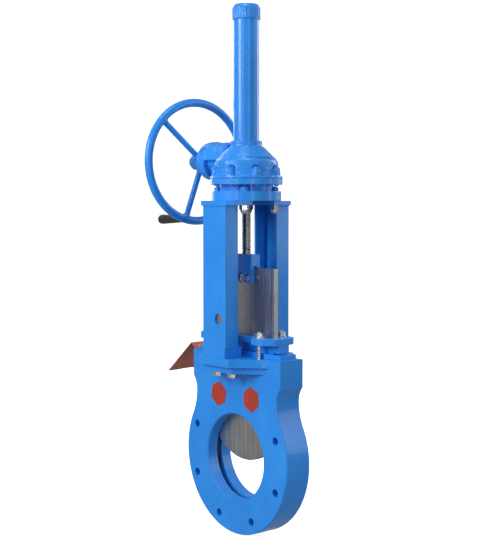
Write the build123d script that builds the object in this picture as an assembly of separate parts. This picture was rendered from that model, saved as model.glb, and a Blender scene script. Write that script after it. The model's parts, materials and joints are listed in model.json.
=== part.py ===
from build123d import *
import os
from math import atan2, cos, pi, radians, sin, sqrt, tan

# Wafer knife gate valve, nominal size 200, with a rising stem and a bevel gear operator.
# Millimetres. The origin is the centre of the bore: +X runs across the flange face,
# +Y along the bore away from the front face, +Z up the stem.

# Body casting
BORE_R = 97.0
BORE_MOUTH = 2.0
BODY_R = 174.0
BODY_HALF_T = 34.0
BODY_EDGE_R = 4.0
WAIST_X = 140.0
WAIST_Z = 137.0
CHEST_X = 152.0
CHEST_BOTTOM = 168.0
TOP_Z = 229.5
BOLT_PCD = 295.0
BOLT_COUNT = 8
BOLT_HOLE_R = 8.75
BLIND_DEPTH = 21.0

# Gate and its guide
GATE_HALF_W = 100.0
GATE_HALF_T = 6.0
GATE_TOP = 424.0
GATE_ARC_R = 126.0
GATE_BOTTOM = -9.5
CLOSING_TRAVEL = 93.5
LIFT_HOLE_X = 46.0
LIFT_HOLE_Z = 404.0
LIFT_HOLE_R = 4.0
SLOT_HALF_T = 7.0
SLOT_HALF_W = 101.5
SEAL_T = 12.0
SEAL_GAP = 0.5
SEAL_TOP = 60.0

# Stuffing box, packing and gland
BOX_HALF_X = 141.0
BOX_HALF_Y = 24.0
BOX_TOP = 240.0
PACK_HALF_X = 108.0
PACK_HALF_Y = 14.0
PACK_BOTTOM = 203.5
PACK_T = 8.0
PACK_COUNT = 4
GLAND_Z = 260.0
GLAND_T = 13.5
GLAND_NECK_HALF_X = 126.0
GLAND_NECK_BOTTOM = 242.0
GLAND_EAR_X = 127.0
GLAND_EAR_Y = 46.0
GLAND_WAIST_X = 64.0
GLAND_WAIST_Y = 26.0
STUD_X = 81.0
STUD_Y = 32.0
STUD_R = 5.0
STUD_DEPTH = 18.0

# Ledges that carry the columns
LEDGE_ROOT_X = 118.0
LEDGE_END_X = 53.0
LEDGE_Y = 95.0
LEDGE_STEP_Z = 211.0
LEDGE_BOTTOM = 196.0
LOWER_LIP = (0.92, 0.88)
FOOT_BOLT_X = 25.0
FOOT_BOLT_Y = 62.0
FOOT_BOLT_R = 6.0
FOOT_BOLT_HEAD = 12.0

# Columns
COLUMN_HALF_X = 39.0
COLUMN_IN_Y = 56.5
COLUMN_OUT_Y = 92.0
COLUMN_WALL = 6.0
FOOT_HALF_X = 38.5
FOOT_IN_Y = 47.0
FOOT_OUT_Y = 94.0
FOOT_TOP = 253.0
HEAD_HALF_X = 58.5
HEAD_IN_Y = 31.0
HEAD_OUT_Y = 94.0
HEAD_CHAMFER = 14.5
HEAD_BOTTOM = 562.0
HEAD_T = 10.0
SIGHT_HOLE_X = 14.5
SIGHT_HOLE_Z = 314.0
SIGHT_HOLE_R = 12.5

# Gear operator
RING_R = 77.5
RING_T = 21.0
RING_BOTTOM = HEAD_BOTTOM + HEAD_T
RING_TOP = RING_BOTTOM + RING_T
RING_BOLT = 125.0 / 2 / sqrt(2)
RING_BOLT_R = 6.0
SPOOL_R = 60.0
NUT_POCKET_R = 12.5
CASE_FLANGE_R = 80.5
CASE_FLOOR = 607.6
CASE_JOINT = 620.5
CASE_FLANGE_TOP = 626.3
CASE_WALL_R = 71.0
CASE_CAVITY_R = 59.5
CASE_BOLT_R = 72.0
CASE_BOLT_TOP = 640.0
CASE_SCREW_R = 4.0
SHOULDER_Z = 660.0
NECK_Z = 691.5
NECK_R = 35.5
NECK_TOP = 704.7
AXIS_Z = 662.5
STEM_BORE_R = 24.0
BEARING_SEAT_R = 38.0
BEARING_SEAT_Z = 612.5

# Bevel pair, both pitch cones ending in the point (0, 0, AXIS_Z)
MODULE = 3.0
PINION_TEETH = 12
CROWN_TEETH = 36
FACE_W = 16.0
ADDENDUM = 2.6
DEDENDUM = 3.6
PINION_PITCH_R = MODULE * PINION_TEETH / 2
CROWN_PITCH_R = MODULE * CROWN_TEETH / 2
CONE_LENGTH = sqrt(PINION_PITCH_R ** 2 + CROWN_PITCH_R ** 2)
INNER_SCALE = (CONE_LENGTH - FACE_W) / CONE_LENGTH

# Stem, drive nut and bearings
STEM_R = 10.8
STEM_ROOT_R = 8.3
STEM_PLAIN_R = 10.0
STEM_PITCH = 5.0
STEM_TOP = 860.0
NUT_BORE_R = STEM_R + 0.4
RUN_FIT = 0.05
DRIVE_FLANGE_Z = 624.8
CROWN_BACK_Z = 631.0
CROWN_HUB_TOP = 648.0
UPPER_BEARING_Z = 684.0
BEARING_T = 10.0
LOWER_JOURNAL_R = 22.0
UPPER_JOURNAL_R = 18.0
CROWN_SEAT_R = 26.0
NUT_FLANGE_R = 32.0
KEY_HALF_W = 4.0

# Fork between stem and gate
FORK_HALF_X = 32.0
FORK_HALF_Y = 12.0
FORK_TOP = 453.5
FORK_SLOT_TOP = 427.0
FORK_BOTTOM = 390.0
FORK_BOLT_X = 13.0
FORK_BOLT_Z = 401.0
FORK_BOLT_R = 6.0
FORK_HOLE_R = 6.3
WASHER_T = 2.0

# Input side
DRUM_R = 44.0
DRUM_IN_X = -100.0
DRUM_OUT_X = -120.0
ARM_ROOF_R = 41.0
ARM_R = 31.0
ARM_BORE_R = 22.0
ARM_ROOT_X = -36.0
COVER_T = 6.0
COVER_SCREW_R = 3.0
SHAFT_R = 12.0
HUB_SEAT_R = 11.0
SHAFT_END_R = 8.0
SHAFT_END_X = -198.0

# Handwheel
WHEEL_X = -180.5
WHEEL_R = 137.3
WHEEL_TUBE_R = 9.6
SPOKE_R = 6.8
SPOKE_ANGLES = (16.0, 136.0, 256.0)
SPOKE_ROOT_X = -158.5
HUB_R = 19.5
HUB_IN_X = -150.0
HUB_OUT_X = -184.0
CRANK_ANGLE = 258.0
CRANK_R = 4.0
GRIP_IN_X = -200.0
GRIP_OUT_X = -284.0

# Protector tube over the stem
TUBE_R = 28.7
TUBE_WALL = 3.0
TUBE_TOP = 983.0
CAP_R = 31.5
CAP_TOP = 1005.5

# Stickers and tag
STICKER_FLATS = 50.0
TAG_FOLD = (-168.0, 240.0)
TAG_TIP = (-259.0, 164.5)
TAG_Y = (-27.5, 52.0)
TAG_T = 1.5
TAG_REST_X = -151.0
TAG_END_X = -142.0
TAG_HOLE = (-147.0, -21.0)
WIRE_R = 0.8


# ---- shapes used more than once ----

def block(x0, x1, y0, y1, z0, z1):
    centre = ((x0 + x1) / 2, (y0 + y1) / 2, (z0 + z1) / 2)
    return Pos(*centre) * Box(abs(x1 - x0), abs(y1 - y0), abs(z1 - z0))


def post(x, y, z0, z1, radius):
    return Pos(x, y, (z0 + z1) / 2) * Cylinder(radius, z1 - z0)


def bar_x(x0, x1, y, z, radius):
    return Pos((x0 + x1) / 2, y, z) * Rot(0, 90, 0) * Cylinder(radius, abs(x1 - x0))


def bar_y(y0, y1, x, z, radius):
    return Pos(x, (y0 + y1) / 2, z) * Rot(90, 0, 0) * Cylinder(radius, abs(y1 - y0))


def rod(start, end, radius):
    path = Line(start, end)
    return sweep(Plane(start, z_dir=path % 0) * Circle(radius), path)


def hex_prism(z0, z1, across_flats):
    outline = RegularPolygon(across_flats / 2, 6, major_radius=False)
    return Pos(0, 0, z0) * extrude(outline, z1 - z0)


def hex_x(x0, x1, across_flats):
    return Pos(x0, 0, 0) * Rot(0, 90 if x1 > x0 else -90, 0) * hex_prism(0, abs(x1 - x0), across_flats)


def hex_y(y0, y1, across_flats):
    return Pos(0, y0, 0) * Rot(-90 if y1 > y0 else 90, 0, 0) * hex_prism(0, abs(y1 - y0), across_flats)


def upright_plate(points, y0, y1):
    """A plate standing in the XZ plane between two Y values."""
    face = Plane.XZ.offset(-y1) * make_face(Polyline(*points, close=True))
    return extrude(face, y1 - y0)


def spun(points):
    """A solid of revolution about Z from (radius, z) points."""
    face = Plane.XZ * make_face(Polyline(*points, close=True))
    return revolve(face, Axis.Z)


def spun_x(points):
    """A solid of revolution about the shaft axis from (x, radius) points."""
    face = Plane.XZ * make_face(Polyline(*points, close=True))
    return Pos(0, 0, AXIS_Z) * revolve(face, Axis.X)


def four_ways(x, y):
    return [(sx * x, sy * y) for sx in (-1, 1) for sy in (-1, 1)]


def around(count, radius, first=0.0):
    return [Rot(0, 0, first + 360 / count * i) * Pos(radius, 0, 0) for i in range(count)]


def joined(shapes):
    total = shapes[0]
    for shape in shapes[1:]:
        total = total + shape
    return total


# ---- body ----

def pear_outline():
    """Round flange, concave neck and straight chest, closed on the centre line and mirrored."""
    lower_r = (WAIST_X ** 2 + WAIST_Z ** 2 - BODY_R ** 2) / (2 * (BODY_R - WAIST_X))
    to_centre = atan2(WAIST_Z, WAIST_X + lower_r)
    tangent = (BODY_R * cos(to_centre), BODY_R * sin(to_centre))
    low = (to_centre - pi / 2) / 2
    flange = ThreePointArc((0, -BODY_R), (BODY_R * cos(low), BODY_R * sin(low)), tangent)
    lower_neck = TangentArc(tangent, (WAIST_X, WAIST_Z), tangent=flange % 1)
    upper_neck = TangentArc((WAIST_X, WAIST_Z), (CHEST_X, CHEST_BOTTOM), tangent=(0, 1))
    chest = Polyline((CHEST_X, CHEST_BOTTOM), (CHEST_X, TOP_Z), (0, TOP_Z), (0, -BODY_R))
    half = make_face([flange, lower_neck, upper_neck, chest])
    return half + mirror(half, Plane.YZ)


def ledge():
    """Two-step shelf on the front face that the front column stands on."""
    sag = 12
    side = ((LEDGE_ROOT_X + LEDGE_END_X) / 2 - sag, -(BODY_HALF_T + LEDGE_Y) / 2 - sag / 3)
    right = ThreePointArc((LEDGE_ROOT_X, -BODY_HALF_T), side, (LEDGE_END_X, -LEDGE_Y))
    left = ThreePointArc((-LEDGE_END_X, -LEDGE_Y), (-side[0], side[1]), (-LEDGE_ROOT_X, -BODY_HALF_T))
    front = Line((LEDGE_END_X, -LEDGE_Y), (-LEDGE_END_X, -LEDGE_Y))
    root = Line((-LEDGE_ROOT_X, -BODY_HALF_T), (LEDGE_ROOT_X, -BODY_HALF_T))
    plan = make_face([right, front, left, root])
    upper = Pos(0, 0, LEDGE_STEP_Z) * extrude(plan, TOP_Z - LEDGE_STEP_Z)
    lower_plan = scale(plan, (*LOWER_LIP, 1))
    lower = Pos(0, 0, LEDGE_BOTTOM) * extrude(lower_plan, LEDGE_STEP_Z - LEDGE_BOTTOM)
    return upper + lower


def closed_gate_outline(margin):
    """Outline of the shut gate, grown by a margin, up to the top of the body."""
    half_w = GATE_HALF_W + margin
    radius = GATE_ARC_R + margin
    centre_z = GATE_BOTTOM + GATE_ARC_R - CLOSING_TRAVEL
    corner_z = centre_z - sqrt(radius ** 2 - half_w ** 2)
    arc = ThreePointArc((-half_w, corner_z), (0, centre_z - radius), (half_w, corner_z))
    sides = Polyline((half_w, corner_z), (half_w, TOP_Z), (-half_w, TOP_Z), (-half_w, corner_z))
    return make_face([arc, sides])


def gate_channel():
    slot = extrude(Plane.XZ * closed_gate_outline(SLOT_HALF_W - GATE_HALF_W), SLOT_HALF_T, both=True)
    seat = extrude(Plane.XZ * closed_gate_outline(SEAL_GAP + SEAL_T), SLOT_HALF_T, both=True)
    seat = seat - block(-BODY_R, BODY_R, -20, 20, SEAL_TOP, TOP_Z + 1)
    return slot + seat


def stud_holes():
    """Cutters for the tapped holes in both flange faces; the upper ones stop short of the gate."""
    holes = []
    for index in range(BOLT_COUNT):
        angle = radians(360 / BOLT_COUNT * (index + 0.5))
        x, z = BOLT_PCD / 2 * cos(angle), BOLT_PCD / 2 * sin(angle)
        bottom_y = BODY_HALF_T - BLIND_DEPTH if z > BORE_R else -1
        for side in (-1, 1):
            holes.append(bar_y(side * (BODY_HALF_T + 1), side * bottom_y, x, z, BOLT_HOLE_R))
    return holes


def valve_body():
    casting = extrude(Plane.XZ * pear_outline(), BODY_HALF_T, both=True)
    faces = casting.faces().filter_by(Axis.Y)
    outline = [edge for face in faces for edge in face.edges() if edge.center().Z < TOP_Z - 1]
    casting = fillet(outline, BODY_EDGE_R)
    front = ledge()
    box = extrude(RectangleRounded(2 * BOX_HALF_X, 2 * BOX_HALF_Y, 4), BOX_TOP - TOP_Z)
    casting = casting + front + Rot(0, 0, 180) * front + Pos(0, 0, TOP_Z) * box
    mouth = spun([(0, BODY_HALF_T - BORE_MOUTH), (BORE_R, BODY_HALF_T - BORE_MOUTH),
                  (BORE_R + BORE_MOUTH + 1, BODY_HALF_T + 1), (0, BODY_HALF_T + 1)])
    casting = casting - bar_y(-BODY_HALF_T - 1, BODY_HALF_T + 1, 0, 0, BORE_R)
    casting = casting - Rot(90, 0, 0) * mouth - Rot(-90, 0, 0) * mouth
    casting = casting - gate_channel()
    casting = casting - block(-SLOT_HALF_W, SLOT_HALF_W, -SLOT_HALF_T, SLOT_HALF_T, TOP_Z - 1, BOX_TOP + 1)
    casting = casting - block(-PACK_HALF_X, PACK_HALF_X, -PACK_HALF_Y, PACK_HALF_Y,
                              PACK_BOTTOM, BOX_TOP + 1)
    for hole in stud_holes():
        casting = casting - hole
    for x, y in four_ways(STUD_X, STUD_Y):
        casting = casting - post(x, y, TOP_Z - STUD_DEPTH, TOP_Z + 1, STUD_R + RUN_FIT)
    for x, y in four_ways(FOOT_BOLT_X, FOOT_BOLT_Y):
        casting = casting - post(x, y, LEDGE_BOTTOM - 1, TOP_Z + 1, FOOT_BOLT_R + 0.3)
    return casting


def u_seal():
    """Rubber strip round the lower edge of the shut gate."""
    outer = closed_gate_outline(SEAL_GAP + SEAL_T)
    inner = closed_gate_outline(SEAL_GAP)
    strip = extrude(Plane.XZ * (outer - inner), SLOT_HALF_T, both=True)
    return strip - block(-BODY_R, BODY_R, -20, 20, SEAL_TOP, TOP_Z + 1)


def packing_rings():
    ring = Rectangle(2 * PACK_HALF_X, 2 * PACK_HALF_Y)
    ring = ring - Rectangle(2 * (GATE_HALF_W + 0.4), 2 * (GATE_HALF_T + 0.4))
    shapes = []
    for index in range(PACK_COUNT):
        shapes.append(Pos(0, 0, PACK_BOTTOM + PACK_T * index) * extrude(ring, PACK_T))
    return Compound(children=shapes)


def gland_plan():
    """Flange seen from above: two wide ears at each end with cut corners, waisted beside the columns."""
    waist = (GLAND_WAIST_X, -GLAND_WAIST_Y)
    shoulder = (GLAND_WAIST_X + 6, -GLAND_EAR_Y)
    cut = 20
    near = [(0, -GLAND_WAIST_Y), waist, shoulder, (GLAND_EAR_X - cut, -GLAND_EAR_Y),
            (GLAND_EAR_X, cut - GLAND_EAR_Y)]
    far = [(x, -y) for x, y in reversed(near)]
    half = make_face(Polyline(*near, *far, close=True))
    return half + mirror(half, Plane.YZ)


def gland_follower():
    """Flange with four ears on a straight neck, and a tongue that presses on the packing."""
    gate_slot = Rectangle(2 * SLOT_HALF_W, 2 * SLOT_HALF_T)
    neck = Rectangle(2 * GLAND_NECK_HALF_X, 2 * PACK_HALF_Y) - gate_slot
    tongue = Rectangle(2 * PACK_HALF_X - 0.6, 2 * PACK_HALF_Y - 0.6) - gate_slot
    flange = extrude(gland_plan() - gate_slot, GLAND_T)
    for end in (-1, 0):
        flange = fillet(flange.edges().filter_by(Axis.Z).group_by(Axis.X)[end], 8)
    packing_top = PACK_BOTTOM + PACK_T * PACK_COUNT
    gland = Pos(0, 0, GLAND_Z) * flange
    gland = gland + Pos(0, 0, GLAND_NECK_BOTTOM) * extrude(neck, GLAND_Z - GLAND_NECK_BOTTOM)
    gland = gland + Pos(0, 0, packing_top) * extrude(tongue, GLAND_Z - packing_top)
    for x, y in four_ways(STUD_X, STUD_Y):
        gland = gland - post(x, y, GLAND_Z - 1, GLAND_Z + GLAND_T + 1, STUD_R + 0.5)
    return gland


def gland_studs():
    bottom, top = TOP_Z - STUD_DEPTH, GLAND_Z + GLAND_T + 14
    return Compound(children=[post(x, y, bottom, top, STUD_R) for x, y in four_ways(STUD_X, STUD_Y)])


def gland_nuts():
    """Nut and washer of each gland stud, drawn as one turned piece."""
    seat = GLAND_Z + GLAND_T
    washer_t, nut_t = 2, 9
    nut = post(0, 0, seat, seat + washer_t, 11)
    nut = nut + hex_prism(seat + washer_t, seat + washer_t + nut_t, 18)
    nut = nut - post(0, 0, seat - 1, seat + washer_t + nut_t + 1, STUD_R + RUN_FIT)
    return Compound(children=[Pos(x, y, 0) * nut for x, y in four_ways(STUD_X, STUD_Y)])


# ---- columns ----

def front_column():
    """Welded channel with a foot block and a head plate; the web faces outward."""
    outer = block(-COLUMN_HALF_X, COLUMN_HALF_X, -COLUMN_OUT_Y, -COLUMN_IN_Y, FOOT_TOP, HEAD_BOTTOM)
    inner_x = COLUMN_HALF_X - COLUMN_WALL
    hollow = block(-inner_x, inner_x, -COLUMN_OUT_Y + COLUMN_WALL, 0, FOOT_TOP, HEAD_BOTTOM)
    channel = outer - hollow
    channel = channel - bar_y(-COLUMN_OUT_Y - 1, -COLUMN_IN_Y, SIGHT_HOLE_X, SIGHT_HOLE_Z, SIGHT_HOLE_R)
    foot = block(-FOOT_HALF_X, FOOT_HALF_X, -FOOT_OUT_Y, -FOOT_IN_Y, TOP_Z, FOOT_TOP)
    for x in (-FOOT_BOLT_X, FOOT_BOLT_X):
        foot = foot - post(x, -FOOT_BOLT_Y, TOP_Z - 1, TOP_Z + 20, FOOT_BOLT_R + RUN_FIT)
    head = block(-HEAD_HALF_X, HEAD_HALF_X, -HEAD_OUT_Y, -HEAD_IN_Y, HEAD_BOTTOM, HEAD_BOTTOM + HEAD_T)
    head = chamfer(head.edges().filter_by(Axis.Z).group_by(Axis.Y)[0], HEAD_CHAMFER)
    for x in (-RING_BOLT, RING_BOLT):
        head = head - post(x, -RING_BOLT, HEAD_BOTTOM - 1, RING_BOTTOM + 1, RING_BOLT_R + 0.5)
    return channel + foot + head


def column_bolts():
    head_z = LEDGE_BOTTOM - FOOT_BOLT_HEAD
    bolt = hex_prism(head_z, LEDGE_BOTTOM, 19) + post(0, 0, LEDGE_BOTTOM, TOP_Z + 18, FOOT_BOLT_R)
    return Compound(children=[Pos(x, y, 0) * bolt for x, y in four_ways(FOOT_BOLT_X, FOOT_BOLT_Y)])


# ---- gear case ----

def case_bolt_places():
    return around(8, CASE_BOLT_R, 22.5)


def gearbox_base():
    """Mounting ring, short spool with nut pockets, and floor of the gear case, in one casting."""
    body = spun([(STEM_BORE_R, RING_BOTTOM), (RING_R, RING_BOTTOM), (RING_R, RING_TOP), (SPOOL_R, RING_TOP),
                 (SPOOL_R, CASE_FLOOR), (CASE_FLANGE_R, CASE_FLOOR), (CASE_FLANGE_R, CASE_JOINT),
                 (BEARING_SEAT_R, CASE_JOINT), (BEARING_SEAT_R, BEARING_SEAT_Z),
                 (STEM_BORE_R, BEARING_SEAT_Z)])
    for x, y in four_ways(RING_BOLT, RING_BOLT):
        body = body - post(x, y, RING_BOTTOM - 1, RING_TOP + 1, RING_BOLT_R + 0.5)
        body = body - post(x, y, RING_TOP, CASE_FLOOR, NUT_POCKET_R)
    for place in case_bolt_places():
        body = body - place * post(0, 0, CASE_FLOOR - 1, CASE_JOINT + 1, CASE_SCREW_R + RUN_FIT)
    return body


def ring_studs():
    return Compound(children=[post(x, y, HEAD_BOTTOM - 15, RING_TOP + 11, RING_BOLT_R)
                              for x, y in four_ways(RING_BOLT, RING_BOLT)])


def ring_nuts():
    nut_t = 9
    nut = hex_prism(RING_TOP, RING_TOP + nut_t, 18)
    nut = nut - post(0, 0, RING_TOP - 1, RING_TOP + nut_t + 1, RING_BOLT_R + RUN_FIT)
    return Compound(children=[Pos(x, y, 0) * nut for x, y in four_ways(RING_BOLT, RING_BOLT)])


def dome_nuts():
    """Closed nuts under the head plates."""
    seat = HEAD_BOTTOM
    dome = spun([(0, seat - 19.5), (4.5, seat - 19), (7, seat - 16.5), (7.8, seat - 12), (7.8, seat - 9),
                 (0, seat - 9)])
    nut = hex_prism(seat - 10, seat, 18) + dome - post(0, 0, seat - 15, seat + 1, RING_BOLT_R + RUN_FIT)
    return Compound(children=[Pos(x, y, 0) * nut for x, y in four_ways(RING_BOLT, RING_BOLT)])


def input_arm():
    """Arm of the gear case: a wide roof over a narrower lower half, and a drum at the outer end."""
    roof = bar_x(ARM_ROOT_X, DRUM_IN_X, 0, AXIS_Z, ARM_ROOF_R)
    roof = roof - block(ARM_ROOT_X + 1, DRUM_IN_X - 1, -ARM_ROOF_R, ARM_ROOF_R, AXIS_Z - ARM_ROOF_R, AXIS_Z)
    arm = roof + bar_x(ARM_ROOT_X, DRUM_IN_X, 0, AXIS_Z, ARM_R)
    arm = arm + bar_x(DRUM_IN_X, DRUM_OUT_X, 0, AXIS_Z, DRUM_R)
    lug = block(DRUM_OUT_X + 4, DRUM_IN_X - 4, DRUM_R - 6, DRUM_R + 5, -5, 5)
    return arm + Pos(0, 0, AXIS_Z) * Rot(145, 0, 0) * lug


def gearbox_bell():
    """Upper half of the gear case with the arm that carries the input shaft."""
    bell = spun([(CASE_CAVITY_R, CASE_JOINT), (CASE_FLANGE_R, CASE_JOINT), (CASE_FLANGE_R, CASE_FLANGE_TOP),
                 (CASE_WALL_R, CASE_FLANGE_TOP), (CASE_WALL_R, SHOULDER_Z - 4),
                 (CASE_WALL_R - 2, SHOULDER_Z + 1), (NECK_R + 3.5, NECK_Z), (NECK_R, NECK_Z),
                 (NECK_R, NECK_TOP), (0, NECK_TOP), (0, CASE_JOINT)])
    bell = bell + input_arm()
    for place in case_bolt_places():
        bell = bell + place * post(0, 0, CASE_JOINT, CASE_BOLT_TOP, 8)
    seat_r = TUBE_R + RUN_FIT
    cavity = spun([(0, CASE_JOINT - 1), (CASE_CAVITY_R, CASE_JOINT - 1), (CASE_CAVITY_R, SHOULDER_Z - 8),
                   (seat_r, UPPER_BEARING_Z), (seat_r, NECK_TOP + 1), (0, NECK_TOP + 1)])
    bell = bell - cavity
    bell = bell - bar_x(ARM_ROOT_X + 6, DRUM_OUT_X - 1, 0, AXIS_Z, ARM_BORE_R)
    for place in case_bolt_places():
        bell = bell - place * post(0, 0, CASE_BOLT_TOP, CASE_BOLT_TOP + 8, 8.2)
        bell = bell - place * post(0, 0, CASE_JOINT - 1, CASE_BOLT_TOP + 1, CASE_SCREW_R + 0.3)
    for place in cover_screw_places():
        bell = bell - place * bar_x(DRUM_OUT_X - 1, DRUM_OUT_X + 12, 0, 0, COVER_SCREW_R + RUN_FIT)
    return bell


def case_bolts():
    shank = post(0, 0, CASE_FLOOR - 3, CASE_BOLT_TOP, CASE_SCREW_R)
    bolt = hex_prism(CASE_BOLT_TOP, CASE_BOLT_TOP + 6, 13) + shank
    return Compound(children=[place * bolt for place in case_bolt_places()])


def lower_bearing():
    ring = post(0, 0, BEARING_SEAT_Z, DRIVE_FLANGE_Z - 0.3, BEARING_SEAT_R - RUN_FIT)
    return ring - post(0, 0, BEARING_SEAT_Z - 1, DRIVE_FLANGE_Z + 1, LOWER_JOURNAL_R)


def upper_bearing():
    ring = post(0, 0, UPPER_BEARING_Z, UPPER_BEARING_Z + BEARING_T, TUBE_R)
    return ring - post(0, 0, UPPER_BEARING_Z - 1, UPPER_BEARING_Z + BEARING_T + 1, UPPER_JOURNAL_R)


def protector_tube():
    bottom = UPPER_BEARING_Z + BEARING_T
    return post(0, 0, bottom, TUBE_TOP, TUBE_R) - post(0, 0, bottom - 1, TUBE_TOP + 1, TUBE_R - TUBE_WALL)


def tube_cap():
    """Plug-in cap with a fluted edge and a slightly domed top."""
    plug_r = TUBE_R - TUBE_WALL - RUN_FIT
    cap = spun([(0, TUBE_TOP - 12), (plug_r, TUBE_TOP - 12), (plug_r, TUBE_TOP), (CAP_R, TUBE_TOP),
                (CAP_R - 0.5, CAP_TOP - 5), (CAP_R - 4, CAP_TOP - 1), (0, CAP_TOP)])
    hollow = post(0, 0, TUBE_TOP - 13, CAP_TOP - 6, plug_r - 3)
    cap = cap - hollow
    for place in around(18, CAP_R + 1.2):
        cap = cap - place * post(0, 0, TUBE_TOP - 1, CAP_TOP + 1, 2.2)
    return cap


def grease_nipple():
    """Small hexagonal filler on the shoulder of the gear case."""
    base = hex_prism(680, 696, 11) + post(0, 0, 696, 701, 3)
    return Pos(-36, -30, 0) * base - gearbox_bell()


# ---- bevel gears, drive nut ----

def tooth(pitch_r, axial, tip_w, root_w):
    """One straight bevel tooth on +X, every edge running to the common apex (the origin).

    The tooth axis is Z; axial is the signed height of the outer pitch point over the apex.
    """
    outward = (abs(axial) / CONE_LENGTH, pitch_r / CONE_LENGTH * (1 if axial < 0 else -1))
    depth = DEDENDUM + 0.8
    tip = (pitch_r + outward[0] * ADDENDUM, axial + outward[1] * ADDENDUM)
    root = (pitch_r - outward[0] * depth, axial - outward[1] * depth)
    outer = [(root[0], -root_w / 2, root[1]), (root[0], root_w / 2, root[1]),
             (tip[0], tip_w / 2, tip[1]), (tip[0], -tip_w / 2, tip[1])]
    inner = [tuple(INNER_SCALE * value for value in point) for point in outer]
    faces = [make_face(Polyline(*points, close=True)) for points in (outer, inner)]
    return loft(faces, ruled=True)


def bevel_teeth(count, pitch_r, axial, tip_w, root_w, first):
    shape = tooth(pitch_r, axial, tip_w, root_w)
    return [Rot(0, 0, first + 360 / count * i) * shape for i in range(count)]


def crown_wheel():
    """Large bevel gear, teeth upward, with a tooth space facing the pinion."""
    slope = CROWN_PITCH_R / CONE_LENGTH
    fall = PINION_PITCH_R / CONE_LENGTH
    root_r = CROWN_PITCH_R - fall * DEDENDUM
    root_z = -PINION_PITCH_R - slope * DEDENDUM
    back = CROWN_BACK_Z - AXIS_Z
    hub_top = CROWN_HUB_TOP - AXIS_Z
    bore_r = CROWN_SEAT_R + RUN_FIT
    blank = spun([(bore_r, back), (root_r - 5, back), (root_r - 2, back + 4), (root_r, root_z),
                  (INNER_SCALE * root_r, INNER_SCALE * root_z), (bore_r + 7, hub_top), (bore_r, hub_top)])
    first = 180 + 180 / CROWN_TEETH
    gear = joined([blank] + bevel_teeth(CROWN_TEETH, CROWN_PITCH_R, -PINION_PITCH_R, 1.8, 5.8, first))
    gear = gear - block(CROWN_SEAT_R - 2, CROWN_SEAT_R + 4, -KEY_HALF_W, KEY_HALF_W, back - 1, hub_top + 1)
    return Pos(0, 0, AXIS_Z) * gear


def stem_nut():
    """Bronze drive nut: held between two bearings, turned by the crown wheel."""
    bottom, top = BEARING_SEAT_Z - 12.5, UPPER_BEARING_Z + BEARING_T
    lower_r, upper_r = LOWER_JOURNAL_R - RUN_FIT, UPPER_JOURNAL_R - RUN_FIT
    shoulder = UPPER_BEARING_Z - 0.3
    nut = spun([(NUT_BORE_R, bottom), (lower_r, bottom), (lower_r, DRIVE_FLANGE_Z),
                (NUT_FLANGE_R, DRIVE_FLANGE_Z), (NUT_FLANGE_R, CROWN_BACK_Z), (CROWN_SEAT_R, CROWN_BACK_Z),
                (CROWN_SEAT_R, CROWN_HUB_TOP), (LOWER_JOURNAL_R, CROWN_HUB_TOP),
                (LOWER_JOURNAL_R, shoulder), (upper_r, shoulder), (upper_r, top), (NUT_BORE_R, top)])
    return nut - block(CROWN_SEAT_R - 3, CROWN_SEAT_R + 1, -KEY_HALF_W, KEY_HALF_W,
                       CROWN_BACK_Z, CROWN_HUB_TOP + 1)


def crown_key():
    return block(CROWN_SEAT_R - 3, CROWN_SEAT_R + 4, -KEY_HALF_W, KEY_HALF_W, CROWN_BACK_Z, CROWN_HUB_TOP)


def pinion_shaft():
    """Small bevel gear made in one piece with the input shaft; the shaft runs along -X."""
    slope = CROWN_PITCH_R / CONE_LENGTH
    fall = PINION_PITCH_R / CONE_LENGTH
    root_a = CROWN_PITCH_R + fall * DEDENDUM
    root_r = PINION_PITCH_R - slope * DEDENDUM
    back = root_a + 5
    blank = spun([(0, INNER_SCALE * root_a), (INNER_SCALE * root_r, INNER_SCALE * root_a), (root_r, root_a),
                  (root_r, back), (SHAFT_R, back), (SHAFT_R, -HUB_IN_X), (HUB_SEAT_R, -HUB_IN_X),
                  (HUB_SEAT_R, -HUB_OUT_X), (SHAFT_END_R, -HUB_OUT_X), (SHAFT_END_R, -SHAFT_END_X),
                  (0, -SHAFT_END_X)])
    gear = joined([blank] + bevel_teeth(PINION_TEETH, PINION_PITCH_R, CROWN_PITCH_R, 1.8, 4.4, 0))
    gear = Pos(0, 0, AXIS_Z) * Rot(0, -90, 0) * gear
    return gear - key_block(HUB_IN_X - 2, HUB_OUT_X - 1, 1)


def key_block(x0, x1, spare):
    """The handwheel's key, or with spare height the cutter for its groove."""
    top = AXIS_Z + HUB_SEAT_R + 3 + spare
    return block(x0, x1, -3, 3, AXIS_Z + HUB_SEAT_R - 3, top)


def input_bearings():
    ring = bar_x(0, -14, 0, AXIS_Z, ARM_BORE_R - 0.02) - bar_x(1, -15, 0, AXIS_Z, SHAFT_R + RUN_FIT)
    return Compound(children=[Pos(x, 0, 0) * ring for x in (-68.0, -98.0)])


def cover_screw_places():
    return [Pos(0, 0, AXIS_Z) * Rot(45 + 90 * i, 0, 0) * Pos(0, 34, 0) for i in range(4)]


def input_cover():
    """Flat cover on the end of the arm with a bush round the shaft."""
    face, bush_x, bore_r = DRUM_OUT_X - COVER_T, DRUM_OUT_X - COVER_T - 8, SHAFT_R + 0.5
    cover = spun_x([(DRUM_OUT_X, bore_r), (DRUM_OUT_X, DRUM_R - 1), (face, DRUM_R - 1),
                    (face, 22), (bush_x, 20), (bush_x, bore_r)])
    for place in cover_screw_places():
        cover = cover - place * bar_x(DRUM_OUT_X + 1, face - 1, 0, 0, COVER_SCREW_R + 0.3)
    return cover


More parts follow.
